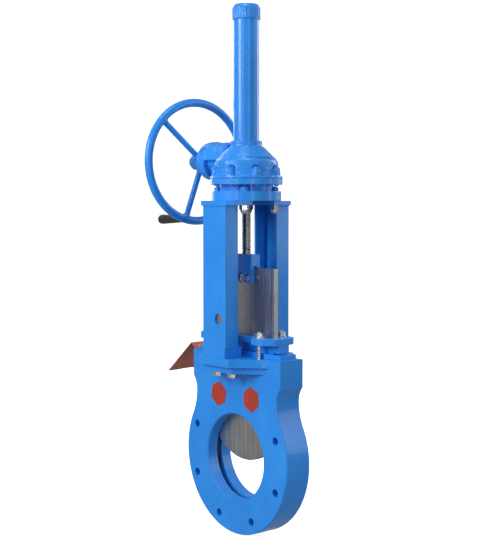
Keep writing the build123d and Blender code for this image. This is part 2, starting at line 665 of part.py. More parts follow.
def cover_screws():
    seat = DRUM_OUT_X - COVER_T
    screw = hex_x(seat, seat - 4.5, 10) + bar_x(seat, DRUM_OUT_X + 11, 0, 0, COVER_SCREW_R)
    return Compound(children=[place * screw for place in cover_screw_places()])


# ---- handwheel ----

def wheel_frame(angle):
    """Places a shape drawn with its radial direction along +Y at an angle from +Y toward +Z."""
    return Pos(0, 0, AXIS_Z) * Rot(angle, 0, 0)


def crank_place():
    return wheel_frame(CRANK_ANGLE) * Pos(0, WHEEL_R, 0)


def rim_ring():
    return Pos(WHEEL_X, 0, AXIS_Z) * Rot(0, 90, 0) * Torus(WHEEL_R, WHEEL_TUBE_R)


def handwheel_rim():
    hole = bar_x(WHEEL_X + 7, WHEEL_X - 20, 0, 0, CRANK_R + RUN_FIT)
    return rim_ring() - crank_place() * hole


def handwheel_hub():
    bore = bar_x(HUB_IN_X + 1, HUB_OUT_X - 1, 0, AXIS_Z, HUB_SEAT_R + RUN_FIT)
    hub = bar_x(HUB_IN_X, HUB_OUT_X, 0, AXIS_Z, HUB_R) - bore
    return hub - key_block(HUB_IN_X + 1, HUB_OUT_X - 1, 0)


def handwheel_spokes():
    """Three straight bars that slope from the hub out to the plane of the rim."""
    solid_hub = bar_x(HUB_IN_X, HUB_OUT_X, 0, AXIS_Z, HUB_R)
    spokes = []
    for angle in SPOKE_ANGLES:
        bar = wheel_frame(angle) * rod((SPOKE_ROOT_X, HUB_R / 2, 0), (WHEEL_X, WHEEL_R, 0), SPOKE_R)
        spokes.append((bar - solid_hub - rim_ring()).solids().sort_by(SortBy.VOLUME)[-1])
    return Compound(children=spokes)


def hub_key():
    return key_block(HUB_IN_X - 2, HUB_OUT_X, 0)


def hub_nut():
    nut = Pos(0, 0, AXIS_Z) * hex_x(HUB_OUT_X, HUB_OUT_X - 10, 24)
    return nut - bar_x(HUB_OUT_X + 1, HUB_OUT_X - 11, 0, AXIS_Z, SHAFT_END_R + RUN_FIT)


def crank_spindle():
    """Pin through the rim with a collar at the rim and a head inside the grip."""
    pin = bar_x(WHEEL_X + 7, GRIP_OUT_X + 4, 0, 0, CRANK_R)
    collar = bar_x(WHEEL_X - 7, GRIP_IN_X + 0.3, 0, 0, CRANK_R + 1.5)
    head = bar_x(GRIP_OUT_X + 8, GRIP_OUT_X + 4, 0, 0, CRANK_R + 2.5)
    return crank_place() * pin + (crank_place() * collar - rim_ring()) + crank_place() * head


def crank_grip():
    """Tapered sleeve, thick at the free end, turning on the spindle."""
    bore_r = CRANK_R + 0.1
    pocket_r, pocket_x = CRANK_R + 3.2, GRIP_OUT_X + 8.3
    face = Plane.XZ * make_face(Polyline(
        (GRIP_IN_X, bore_r), (GRIP_IN_X, 6), (GRIP_IN_X - 3, 7), (GRIP_OUT_X + 6, 11.5),
        (GRIP_OUT_X + 1.5, 11), (GRIP_OUT_X, 9), (GRIP_OUT_X, pocket_r), (pocket_x, pocket_r),
        (pocket_x, bore_r), close=True))
    return crank_place() * revolve(face, Axis.X)


# ---- stem, fork, gate ----

def stem():
    """Trapezoidal screw, drawn as a row of collars on a core, with a plain end in the fork."""
    crest = STEM_PITCH * 0.19
    flank = (STEM_R - STEM_ROOT_R) * tan(radians(15))
    ridge = [(STEM_ROOT_R, -crest - flank), (STEM_R, -crest), (STEM_R, crest), (STEM_ROOT_R, crest + flank)]
    plain_bottom, plain_top = FORK_SLOT_TOP + 2, FORK_TOP + 6
    thread_bottom = plain_top + 4
    points = [(0, plain_bottom), (STEM_PLAIN_R, plain_bottom), (STEM_PLAIN_R, plain_top),
              (STEM_ROOT_R, plain_top)]
    for index in range(int((STEM_TOP - thread_bottom) / STEM_PITCH)):
        points += [(radius, thread_bottom + STEM_PITCH * index + offset) for radius, offset in ridge]
    points += [(STEM_ROOT_R, STEM_TOP - 1), (STEM_ROOT_R - 1, STEM_TOP), (0, STEM_TOP)]
    return spun(points)


def stem_fork():
    """Clevis screwed on the stem, its two cheeks straddling the top of the gate."""
    fork = block(-FORK_HALF_X, FORK_HALF_X, -FORK_HALF_Y, FORK_HALF_Y, FORK_BOTTOM, FORK_TOP)
    fork = fork - block(-FORK_HALF_X - 1, FORK_HALF_X + 1, -GATE_HALF_T, GATE_HALF_T,
                        FORK_BOTTOM - 1, FORK_SLOT_TOP)
    fork = fork - post(0, 0, FORK_SLOT_TOP - 1, FORK_TOP + 1, STEM_PLAIN_R + RUN_FIT)
    for x in (-FORK_BOLT_X, FORK_BOLT_X):
        fork = fork - bar_y(-FORK_HALF_Y - 1, FORK_HALF_Y + 1, x, FORK_BOLT_Z, FORK_HOLE_R)
    return fork


def fork_bolts():
    seat = -FORK_HALF_Y - WASHER_T
    bolt = hex_y(seat, seat - 7, 18) + bar_y(seat, FORK_HALF_Y + 14, 0, 0, FORK_BOLT_R)
    return Compound(children=[Pos(x, 0, FORK_BOLT_Z) * bolt for x in (-FORK_BOLT_X, FORK_BOLT_X)])


def fork_washers():
    washer = bar_y(0, WASHER_T, 0, 0, 11) - bar_y(-1, WASHER_T + 1, 0, 0, FORK_HOLE_R)
    places = [(x, y) for x in (-FORK_BOLT_X, FORK_BOLT_X) for y in (-FORK_HALF_Y - WASHER_T, FORK_HALF_Y)]
    return Compound(children=[Pos(x, y, FORK_BOLT_Z) * washer for x, y in places])


def fork_nuts():
    seat = FORK_HALF_Y + WASHER_T
    nut = hex_y(seat, seat + 10, 18) - bar_y(seat - 1, seat + 11, 0, 0, FORK_BOLT_R + RUN_FIT)
    return Compound(children=[Pos(x, 0, FORK_BOLT_Z) * nut for x in (-FORK_BOLT_X, FORK_BOLT_X)])


def gate():
    """Stainless plate with a round lower edge, bevelled where it meets the seal."""
    corner_z = GATE_BOTTOM + GATE_ARC_R - sqrt(GATE_ARC_R ** 2 - GATE_HALF_W ** 2)
    arc = ThreePointArc((-GATE_HALF_W, corner_z), (0, GATE_BOTTOM), (GATE_HALF_W, corner_z))
    sides = Polyline((GATE_HALF_W, corner_z), (GATE_HALF_W, GATE_TOP), (-GATE_HALF_W, GATE_TOP),
                     (-GATE_HALF_W, corner_z))
    plate = extrude(Plane.XZ * make_face([arc, sides]), GATE_HALF_T, both=True)
    plate = chamfer(plate.edges().filter_by(GeomType.CIRCLE), 1.5)
    holes = [(FORK_BOLT_X, FORK_BOLT_Z, FORK_HOLE_R), (LIFT_HOLE_X, LIFT_HOLE_Z, LIFT_HOLE_R)]
    for x, z, radius in holes:
        for side in (-1, 1):
            plate = plate - bar_y(-GATE_HALF_T - 1, GATE_HALF_T + 1, side * x, z, radius)
    return plate


# ---- stickers and tag ----

def hex_stickers():
    """Two thin hexagonal stickers over the upper pair of front bolt holes, each a little crooked."""
    half_step = radians(180 / BOLT_COUNT)
    z = BOLT_PCD / 2 * cos(half_step)
    places = []
    for side, turn in ((-1, 39), (1, 24)):
        x = side * BOLT_PCD / 2 * sin(half_step)
        places.append(Pos(x, -BODY_HALF_T, z) * Rot(0, turn, 0) * hex_y(0, -0.8, STICKER_FLATS))
    return Compound(children=places)


def tag_card():
    """Stiff card resting on the end of the body top and drooping over the side."""
    top = TOP_Z + TAG_T
    outline = [(TAG_END_X, TOP_Z), (TAG_END_X, top), (TAG_REST_X, top),
               (TAG_FOLD[0], TAG_FOLD[1] + TAG_T), (TAG_TIP[0], TAG_TIP[1] + TAG_T),
               (TAG_TIP[0] + 1, TAG_TIP[1]), TAG_FOLD, (TAG_REST_X, TOP_Z)]
    card = upright_plate(outline, *TAG_Y)
    return card - post(*TAG_HOLE, TOP_Z - 5, TOP_Z + 10, 2.5)


def tag_wire():
    """Thin wire looped round a gland stud and hooked into the card."""
    loop_r = STUD_R + WIRE_R
    z = BOX_TOP + WIRE_R + 0.2
    loop = Pos(-STUD_X, -STUD_Y, z) * Torus(loop_r, WIRE_R)
    start = (-STUD_X - loop_r, -STUD_Y, z)
    bend = (-BOX_HALF_X - 1, -BOX_HALF_Y - 4, z)
    end = (*TAG_HOLE, TOP_Z + TAG_T + WIRE_R)
    tip = (*TAG_HOLE, TOP_Z)
    runs = [rod(start, bend, WIRE_R), rod(bend, end, WIRE_R), rod(end, tip, WIRE_R)]
    joints = [Pos(*point) * Sphere(WIRE_R) for point in (start, bend, end)]
    return joined([loop] + runs + joints)


NODES = {
    "valve_body": valve_body,
    "u_seal": u_seal,
    "packing_rings": packing_rings,
    "gland_follower": gland_follower,
    "gland_studs": gland_studs,
    "gland_nuts": gland_nuts,
    "front_column": front_column,
    "rear_column": lambda: Rot(0, 0, 180) * front_column(),
    "column_bolts": column_bolts,
    "gearbox_base": gearbox_base,
    "ring_studs": ring_studs,
    "ring_nuts": ring_nuts,
    "dome_nuts": dome_nuts,
    "gearbox_bell": gearbox_bell,
    "case_bolts": case_bolts,
    "lower_bearing": lower_bearing,
    "upper_bearing": upper_bearing,
    "protector_tube": protector_tube,
    "tube_cap": tube_cap,
    "grease_nipple": grease_nipple,
    "crown_wheel": crown_wheel,
    "stem_nut": stem_nut,
    "crown_key": crown_key,
    "pinion_shaft": pinion_shaft,
    "input_bearings": input_bearings,
    "input_cover": input_cover,
    "cover_screws": cover_screws,
    "handwheel_rim": handwheel_rim,
    "handwheel_hub": handwheel_hub,
    "handwheel_spokes": handwheel_spokes,
    "hub_key": hub_key,
    "hub_nut": hub_nut,
    "crank_spindle": crank_spindle,
    "crank_grip": crank_grip,
    "stem": stem,
    "stem_fork": stem_fork,
    "fork_bolts": fork_bolts,
    "fork_washers": fork_washers,
    "fork_nuts": fork_nuts,
    "gate": gate,
    "hex_stickers": hex_stickers,
    "tag_card": tag_card,
    "tag_wire": tag_wire,
}

os.makedirs("parts", exist_ok=True)
for name, make in NODES.items():
    export_step(make(), f"parts/{name}.step")
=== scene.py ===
"""Looks for the knife gate valve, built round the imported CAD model. Metres, CAD frame."""

import json
import math

import bmesh
import bpy
from mathutils import Matrix, Vector


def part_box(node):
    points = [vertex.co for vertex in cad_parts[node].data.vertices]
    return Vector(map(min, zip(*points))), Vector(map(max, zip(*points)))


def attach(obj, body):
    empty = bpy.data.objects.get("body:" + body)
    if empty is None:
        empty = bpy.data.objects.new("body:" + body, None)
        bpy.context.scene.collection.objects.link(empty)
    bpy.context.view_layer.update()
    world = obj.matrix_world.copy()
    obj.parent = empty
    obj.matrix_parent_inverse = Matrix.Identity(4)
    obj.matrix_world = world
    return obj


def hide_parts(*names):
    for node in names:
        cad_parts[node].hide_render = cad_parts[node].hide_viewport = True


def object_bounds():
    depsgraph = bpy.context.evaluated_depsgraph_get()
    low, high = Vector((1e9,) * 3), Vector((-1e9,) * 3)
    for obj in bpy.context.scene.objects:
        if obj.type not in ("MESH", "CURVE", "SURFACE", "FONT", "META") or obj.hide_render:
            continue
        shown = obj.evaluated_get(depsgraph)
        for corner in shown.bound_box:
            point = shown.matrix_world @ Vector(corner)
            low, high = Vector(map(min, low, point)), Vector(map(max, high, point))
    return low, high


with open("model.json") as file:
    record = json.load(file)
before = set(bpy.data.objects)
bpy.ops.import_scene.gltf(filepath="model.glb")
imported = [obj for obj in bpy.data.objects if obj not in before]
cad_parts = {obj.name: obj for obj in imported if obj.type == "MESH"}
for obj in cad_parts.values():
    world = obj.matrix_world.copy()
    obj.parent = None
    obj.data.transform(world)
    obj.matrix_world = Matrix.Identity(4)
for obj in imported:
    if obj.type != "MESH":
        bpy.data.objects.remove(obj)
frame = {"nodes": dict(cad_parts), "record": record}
cad_low, cad_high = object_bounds()
NODES = frame["nodes"]
MM = 0.001
TURN = 2 * math.pi

# Places on the body and the columns.
COLUMN_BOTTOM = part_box("front_column")[0].z
LEDGE_BOTTOM = 196 * MM
FOOT_WELD_Z = 253.4 * MM
HEAD_WELD_Z = 561.4 * MM
COLUMN_HALF_X = 39 * MM
COLUMN_IN_Y = 56.5 * MM
COLUMN_OUT_Y = 92 * MM

# Fasteners; the tuples are across flats, height of the head and radius of the shank.
NUT_ACROSS = 18 * MM
CASE_BOLT = (13 * MM, 6 * MM, 3.9 * MM)
COVER_SCREW = (10 * MM, 4.5 * MM, 2.9 * MM)
COLUMN_BOLT_ACROSS = 19 * MM
COLUMN_SHANK_R = 5.9 * MM
FORK_BOLT_HEAD = 7 * MM
FORK_BOLT_R = 6 * MM
FORK_HOLE_R = 6.3 * MM
SHAFT_END_R = 8 * MM
THREAD_PITCH = 1.5 * MM


def per_wheel_radian(joint):
    """How far a joint moves for each radian of the handwheel."""
    couplings = frame["record"]["behaviour"]["couplings"]
    return next(abs(pair["ratio"]) for pair in couplings if pair["joint"] == joint)


# The gate moves by one lead for each turn of the drive nut.
STEM_LEAD = per_wheel_radian("gate_lift") / per_wheel_radian("drive_nut_turn") * TURN


# ---------------------------------------------------------------- materials

class Shader:
    """A Principled material with object-space textures."""

    def __init__(self, name, rough, metal=0.0, coat=0.0, gloss=0.5):
        self.material = bpy.data.materials.new(name)
        self.material.use_nodes = True
        self.tree = self.material.node_tree
        self.base = self.tree.nodes["Principled BSDF"]
        self.base.inputs["Roughness"].default_value = rough
        self.base.inputs["Metallic"].default_value = metal
        self.base.inputs["Coat Weight"].default_value = coat
        self.base.inputs["Coat Roughness"].default_value = 0.12
        self.base.inputs["Specular IOR Level"].default_value = gloss
        self.coords = self.tree.nodes.new("ShaderNodeTexCoord").outputs["Object"]
        self.height = None

    def add(self, kind, **settings):
        made = self.tree.nodes.new(kind)
        for key, value in settings.items():
            setattr(made, key, value)
        return made

    def stretched(self, x, y, z):
        """Object coordinates scaled along each axis, for grain."""
        mapping = self.add("ShaderNodeMapping")
        mapping.inputs["Scale"].default_value = (x, y, z)
        self.tree.links.new(self.coords, mapping.inputs["Vector"])
        return mapping.outputs["Vector"]

    def noise(self, scale, detail=3.0, rough=0.55, vector=None):
        made = self.add("ShaderNodeTexNoise")
        made.inputs["Scale"].default_value = scale
        made.inputs["Detail"].default_value = detail
        made.inputs["Roughness"].default_value = rough
        self.tree.links.new(vector or self.coords, made.inputs["Vector"])
        return made.outputs["Fac"]

    def ramp(self, source, low, high, start=0.35, end=0.65):
        """Maps a texture to a range of values."""
        made = self.add("ShaderNodeMapRange")
        made.inputs["From Min"].default_value = start
        made.inputs["From Max"].default_value = end
        made.inputs["To Min"].default_value = low
        made.inputs["To Max"].default_value = high
        self.tree.links.new(source, made.inputs["Value"])
        return made.outputs["Result"]

    def mix(self, factor, first, second):
        """Colour between two colours or sockets."""
        made = self.add("ShaderNodeMix", data_type="RGBA")
        self.tree.links.new(factor, made.inputs["Factor"])
        for socket, value in ((made.inputs[6], first), (made.inputs[7], second)):
            if isinstance(value, tuple):
                socket.default_value = (*value, 1.0)
            else:
                self.tree.links.new(value, socket)
        return made.outputs[2]

    def colour(self, source):
        self.tree.links.new(source, self.base.inputs["Base Color"])

    def roughness(self, source):
        self.tree.links.new(source, self.base.inputs["Roughness"])

    def bump(self, source, depth):
        """Adds one layer of surface relief, depth in metres."""
        made = self.add("ShaderNodeBump")
        made.inputs["Distance"].default_value = depth
        self.tree.links.new(source, made.inputs["Height"])
        if self.height:
            self.tree.links.new(self.height, made.inputs["Normal"])
        self.height = made.outputs["Normal"]
        self.tree.links.new(self.height, self.base.inputs["Normal"])


BLUE = (0.020, 0.290, 0.880)
BLUE_DEEP = (0.012, 0.235, 0.760)
BLUE_PALE = (0.060, 0.370, 0.930)


def enamel(name, relief, grain):
    """Blue gloss paint: clouded tone, brush or cast relief, and a few dust specks."""
    made = Shader(name, 0.34, coat=0.35, gloss=0.3)
    tone = made.mix(made.ramp(made.noise(9.0, 4.0), 0.0, 1.0, 0.3, 0.7), BLUE_DEEP, BLUE)
    specks = made.ramp(made.noise(420.0, 2.0), 0.0, 0.55, 0.66, 0.80)
    made.colour(made.mix(specks, tone, BLUE_PALE))
    made.roughness(made.ramp(made.noise(60.0, 4.0), 0.26, 0.44))
    made.bump(made.noise(grain, 4.0, 0.6), relief)
    made.bump(made.noise(1500.0, 2.0), 0.00006)
    return made.material


def brushed(name, dark, light, rough, grain, relief):
    """Bare metal with grain along one axis and cloudy stains."""
    made = Shader(name, rough, metal=1.0)
    lines = made.noise(1.0, 5.0, 0.7, made.stretched(*grain))
    cloud = made.noise(16.0, 4.0, 0.6)
    streaked = made.mix(made.ramp(lines, 0.0, 1.0, 0.3, 0.7), dark, light)
    stained = tuple(0.62 * value for value in dark)
    made.colour(made.mix(made.ramp(cloud, 0.0, 0.5, 0.5, 0.75), streaked, stained))
    made.roughness(made.ramp(lines, rough - 0.08, rough + 0.12))
    made.bump(lines, relief)
    return made.material


def rubbery(name, dark, light, rough, relief, grain=700.0, coat=0.0):
    """Moulded rubber, plastic, vinyl or card: fine grain and a slightly uneven tone."""
    made = Shader(name, rough, coat=coat)
    tone = made.mix(made.ramp(made.noise(45.0, 4.0), 0.0, 1.0, 0.3, 0.7), dark, light)
    specks = made.ramp(made.noise(grain, 2.0), 0.0, 0.4, 0.62, 0.8)
    made.colour(made.mix(specks, tone, tuple(1.5 * value + 0.004 for value in light)))
    made.roughness(made.ramp(made.noise(120.0), rough - 0.08, rough + 0.10))
    made.bump(made.noise(grain, 3.0), relief)
    return made.material


def braided(name):
    """Square braid of greased yarn."""
    made = Shader(name, 0.7)
    weave = made.add("ShaderNodeTexChecker")
    weave.inputs["Scale"].default_value = 420.0
    made.tree.links.new(made.coords, weave.inputs["Vector"])
    made.colour(made.mix(weave.outputs["Fac"], (0.10, 0.09, 0.075), (0.19, 0.17, 0.14)))
    made.bump(weave.outputs["Fac"], 0.0004)
    return made.material


PAINT = enamel("blue_enamel", 0.00035, 240.0)
CAST_PAINT = enamel("blue_enamel_cast", 0.0016, 170.0)
STAINLESS = brushed("stainless_brushed", (0.31, 0.32, 0.325), (0.56, 0.57, 0.565), 0.34,
                    (420, 420, 5), 0.00012)
ZINC = brushed("zinc_plated", (0.52, 0.50, 0.46), (0.86, 0.84, 0.79), 0.24, (260, 260, 40), 0.00006)
STEM_STEEL = brushed("stem_steel", (0.17, 0.165, 0.16), (0.50, 0.49, 0.47), 0.26,
                     (90, 90, 500), 0.00008)
GEAR_STEEL = brushed("gear_steel", (0.20, 0.20, 0.21), (0.42, 0.42, 0.43), 0.35,
                     (200, 200, 200), 0.00008)
BRONZE = brushed("bronze", (0.45, 0.27, 0.10), (0.78, 0.55, 0.26), 0.30, (60, 60, 400), 0.00008)
SEAL = rubbery("seal_rubber", (0.010, 0.010, 0.011), (0.022, 0.022, 0.023), 0.62, 0.0001)
GRIP = rubbery("grip_plastic", (0.010, 0.010, 0.012), (0.020, 0.020, 0.022), 0.36, 0.00008, coat=0.2)
VINYL = rubbery("red_vinyl", (0.36, 0.026, 0.014), (0.48, 0.040, 0.022), 0.50, 0.00005)
CARD = rubbery("red_brown_card", (0.46, 0.125, 0.080), (0.62, 0.175, 0.115), 0.70, 0.00012, 380.0)
PACKING = braided("packing_braid")

SLOT_MATERIAL = {
    "blue_paint": PAINT, "stainless": STAINLESS, "zinc_steel": ZINC, "stem_steel": STEM_STEEL,
    "gear_steel": GEAR_STEEL, "bronze": BRONZE, "seal_rubber": SEAL, "packing_braid": PACKING,
    "red_sticker": VINYL, "tag_card": CARD, "black_grip": GRIP,
}
NODE_SLOT = {part["node"]: part["material_slot"] for part in frame["record"]["subparts"]}


def paint(obj, material):
    obj.data.materials.clear()
    obj.data.materials.append(material)


# ---------------------------------------------------------------- mesh tools

def finish_mesh(name, mesh, body, slot, material=None, replaces=(), sharp=38):
    """Turns a bmesh into a smooth-shaded piece that rides on a body."""
    bmesh.ops.remove_doubles(mesh, verts=mesh.verts, dist=1e-6)
    bmesh.ops.recalc_face_normals(mesh, faces=mesh.faces)
    for face in mesh.faces:
        face.smooth = True
    for edge in mesh.edges:
        if len(edge.link_faces) == 2 and edge.calc_face_angle(0) > math.radians(sharp):
            edge.smooth = False
    data = bpy.data.meshes.new(name)
    mesh.to_mesh(data)
    mesh.free()
    obj = bpy.data.objects.new(name, data)
    bpy.context.scene.collection.objects.link(obj)
    paint(obj, material or SLOT_MATERIAL[slot])
    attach(obj, body)
    if replaces:
        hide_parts(*replaces)
    return obj


def grid(mesh, rows, close_rows=False, close_columns=True):
    """Skins a list of rows of points; every row has the same length."""
    made = [[mesh.verts.new(point) for point in row] for row in rows]
    count = len(made[0])
    pairs = list(zip(made, made[1:] + made[:1])) if close_rows else list(zip(made, made[1:]))
    for first, second in pairs:
        for i in range(count if close_columns else count - 1):
            j = (i + 1) % count
            mesh.faces.new((first[i], first[j], second[j], second[i]))
    return made


def cap(mesh, row):
    mesh.faces.new(row)


def rounded(points, radius, steps=4):
    """Replaces the inner corners of an open profile by arcs of about that radius."""
    out = [Vector(points[0])]
    for before, corner, after in zip(points, points[1:], points[2:]):
        corner, before, after = Vector(corner), Vector(before), Vector(after)
        reach = min(radius, (before - corner).length * 0.48, (after - corner).length * 0.48)
        start = corner + (before - corner).normalized() * reach
        end = corner + (after - corner).normalized() * reach
        for i in range(steps + 1):
            t = i / steps
            out.append(start * (1 - t) ** 2 + corner * 2 * t * (1 - t) + end * t ** 2)
    out.append(Vector(points[-1]))
    return out


def polar(radius, angle, height):
    return Vector((radius * math.cos(angle), radius * math.sin(angle), height))


def ring(place, radius, height, segments):
    return [place @ polar(radius, TURN * i / segments, height) for i in range(segments)]


def lathe(mesh, profile, place=Matrix(), segments=96, caps=True):
    """Solid of revolution about Z from (radius, height) points in metres."""
    made = grid(mesh, [ring(place, radius, height, segments) for radius, height in profile])
    for row, (radius, _) in ((made[0], profile[0]), (made[-1], profile[-1])):
        if caps and radius > 1e-7:
            cap(mesh, row)
    return made


def tube(mesh, points, radius, sides=16, closed=False):
    """A round bar along points, with smooth joints."""
    points = [Vector(point) for point in points]
    count = len(points)
    rows = []
    side = None
    for i, point in enumerate(points):
        before = points[i - 1] if (i or closed) else point
        after = points[(i + 1) % count] if (i < count - 1 or closed) else point
        along = (after - before).normalized()
        if side is None:
            side = along.orthogonal().normalized()
        side = (side - along * side.dot(along)).normalized()
        other = along.cross(side)
        size = radius(i / max(count - 1, 1)) if callable(radius) else radius
        turns = [TURN * k / sides for k in range(sides)]
        rows.append([point + (side * math.cos(turn) + other * math.sin(turn)) * size for turn in turns])
    made = grid(mesh, rows, close_rows=closed)
    if not closed:
        cap(mesh, made[0])
        cap(mesh, made[-1])
    return made


def hex_radius(angle, across):
    """Distance from the axis to the side of a hexagon at an angle."""
    sector = (angle % (TURN / 6)) - TURN / 12
    return across / 2 / math.cos(sector)


def nut(mesh, place, across, height, bore=0.0, both_ends=False, top_hollow=0.0):
    """Hexagon with chamfered corners standing on Z = 0; a bore makes it a nut."""
    edge = across / 2 * 0.985
    tilt = math.tan(math.radians(30))
    segments = 72
    angles = [TURN * i / segments for i in range(segments)]
    corners = [hex_radius(angle, across) for angle in angles]
    drops = [max(0.0, corner - edge) * tilt for corner in corners]
    levels = []

    def level(radii, heights):
        levels.append([place @ polar(*sizes) for sizes in zip(radii, angles, heights)])

    def round_level(radius, z):
        levels.append(ring(place, radius, z, segments))

    if bore:
        round_level(bore, 0.0)
    level([min(corner, edge) for corner in corners], [0.0] * segments)
    level(corners, drops if both_ends else [0.0] * segments)
    level(corners, [height - drop for drop in drops])
    level([min(corner, edge) for corner in corners], [height] * segments)
    if bore:
        round_level(bore * 1.12, height)
        round_level(bore, height - bore * 0.12)
    elif top_hollow:
        round_level(edge * 0.8, height)
        round_level(edge * 0.74, height - top_hollow)
    made = grid(mesh, levels, close_rows=bool(bore))
    if not bore:
        cap(mesh, made[0])
        cap(mesh, made[-1])


def screw(mesh, place, length, outer, root, pitch, hand=1, segments=40, taper=0.0):
    """A real helical thread from Z = 0 to length, with its ends faded into the core."""
    flank = (outer - root) * 0.27
    half = pitch * 0.5
    crest = pitch * 0.18
    profile = [(root, 0.0), (root, half - crest - flank), (outer, half - crest), (outer, half + crest),
               (root, half + crest + flank)]
    rows = [[] for _ in range(segments)]
    turns = int(length / pitch) + 2
    for i in range(segments):
        angle = hand * TURN * i / segments
        lift = pitch * i / segments
        for turn in range(-1, turns):
            for radius, offset in profile:
                z = turn * pitch + lift + offset
                fade = min(1.0, max(0.0, z / (pitch * 0.7)), max(0.0, (length - z) / (pitch * 0.7)))
                r = root + (radius - root) * fade
                z = min(max(z, 0.0), length)
                if taper:
                    r -= taper * max(0.0, z - (length - taper)) / taper
                rows[i].append(place @ polar(r, angle, z))
    made = [[mesh.verts.new(point) for point in row] for row in rows]
    per_turn = len(profile)
    total = len(made[0])
    for i in range(segments):
        j = (i + 1) % segments
        shift = per_turn if j == 0 else 0
        for k in range(total - 1):
            if k + 1 + shift >= total:
                break
            mesh.faces.new((made[i][k], made[i][k + 1], made[j][k + 1 + shift], made[j][k + shift]))
    for end in (0.0, length):
        cap(mesh, [mesh.verts.new(point) for point in ring(place, root, end, segments)])


def at(x, y, z):
    return Matrix.Translation((x, y, z))


def to_x(place, direction=1):
    """Local Z turned to +X or -X."""
    return place @ Matrix.Rotation(math.radians(90 * direction), 4, "Y")


def to_y(place, direction=1):
    """Local Z turned to +Y or -Y."""
    return place @ Matrix.Rotation(math.radians(-90 * direction), 4, "X")


def centre(node):
    low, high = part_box(node)
    return (low + high) / 2


def islands(node):
    """Lowest and highest corners of the separate solids in a CAD node, in order of x."""
    mesh = bmesh.new()
    mesh.from_mesh(NODES[node].data)
    mesh.transform(NODES[node].matrix_world)
    bmesh.ops.remove_doubles(mesh, verts=mesh.verts, dist=0.02 * MM)
    found = []
    left = set(mesh.verts)
    while left:
        waiting = [left.pop()]
        group = []
        while waiting:
            vert = waiting.pop()
            group.append(vert.co.copy())
            near = [edge.other_vert(vert) for edge in vert.link_edges]
            fresh = [other for other in near if other in left]
            left.difference_update(fresh)
            waiting.extend(fresh)
        low = Vector([min(point[axis] for point in group) for axis in range(3)])
        high = Vector([max(point[axis] for point in group) for axis in range(3)])
        found.append((low, high))
    mesh.free()
    return sorted(found, key=lambda pair: pair[0].x)


def soften(node, width, material=None):
    """Keeps the CAD shape and rounds its edges by modifiers."""
    obj = NODES[node]
    weld = obj.modifiers.new("weld", "WELD")
    weld.merge_threshold = 0.02 * MM
    flat = obj.modifiers.new("flat", "DECIMATE")
    flat.decimate_type = "DISSOLVE"
    flat.angle_limit = math.radians(0.6)
    edge = obj.modifiers.new("edge", "BEVEL")
    edge.width = width
    edge.segments = 3
    edge.limit_method = "ANGLE"
    edge.angle_limit = math.radians(32)
    edge.use_clamp_overlap = True
    normals = obj.modifiers.new("normals", "WEIGHTED_NORMAL")
    normals.keep_sharp = False
    for face in obj.data.polygons:
        face.use_smooth = True
    if material:
        paint(obj, material)


def recast(node, voxel, rounds, swell, lumps):
    """Turns the CAD shape into a sand casting by modifiers: rounded corners and an uneven skin."""
    obj = NODES[node]
    remesh = obj.modifiers.new("remesh", "REMESH")
    remesh.mode = "VOXEL"
    remesh.voxel_size = voxel
    remesh.use_smooth_shade = True
    relax = obj.modifiers.new("relax", "SMOOTH")
    relax.factor = 0.5
    relax.iterations = rounds
    texture = bpy.data.textures.new(node + "_skin", "CLOUDS")
    texture.noise_scale = lumps
    skin = obj.modifiers.new("skin", "DISPLACE")
    skin.texture = texture
    skin.texture_coords = "LOCAL"
    skin.mid_level = 0.5
    skin.strength = swell
    paint(obj, CAST_PAINT)


# ---------------------------------------------------------------- carried-over CAD nodes

def dress_cad_nodes():
    for node, obj in NODES.items():
        paint(obj, SLOT_MATERIAL[NODE_SLOT[node]])
    soften("valve_body", 1.2 * MM, PAINT)
    soften("gland_follower", 1.5 * MM, CAST_PAINT)
    for node in ("front_column", "rear_column"):
        soften(node, 1.6 * MM)
    soften("gearbox_base", 1.2 * MM)
    recast("gearbox_bell", 1.6 * MM, 3, 1.6 * MM, 8 * MM)
    recast("input_cover", 1.0 * MM, 3, 0.3 * MM, 5 * MM)
    soften("stem_fork", 1.2 * MM)
    soften("gate", 0.4 * MM)
    soften("u_seal", 0.5 * MM)
    soften("hex_stickers", 0.25 * MM)
    soften("protector_tube", 0.8 * MM)
    soften("grease_nipple", 0.4 * MM)
    soften("crank_spindle", 0.4 * MM)
    soften("pinion_shaft", 0.4 * MM)
    soften("hub_key", 0.3 * MM)


# ---------------------------------------------------------------- stem and fasteners

def rod(mesh, place, radius, length, break_edge):
    """Plain round bar from Z = 0 with broken edges."""
    lathe(mesh, [(radius - break_edge, 0), (radius, break_edge), (radius, length - break_edge),
                 (radius - break_edge, length)], place, 32)


def threaded(mesh, place, radius, length, threads):
    """Stud: a plain bar whose last stretch is a real thread."""
    rod(mesh, place, radius * 0.93, length - threads, 0.2 * MM)
    screw(mesh, place @ at(0, 0, length - threads), threads, radius, radius * 0.86, THREAD_PITCH,
          segments=24, taper=0.8 * MM)


def washer(mesh, place, outer, inner, thickness):
    """Flat ring standing on Z = 0 with broken outer edges."""
    edge = thickness * 0.18
    profile = [(inner, 0), (outer - edge, 0), (outer, edge), (outer, thickness - edge),
               (outer - edge, thickness), (inner, thickness)]
    grid(mesh, [ring(place, radius, height, 48) for radius, height in profile], close_rows=True)


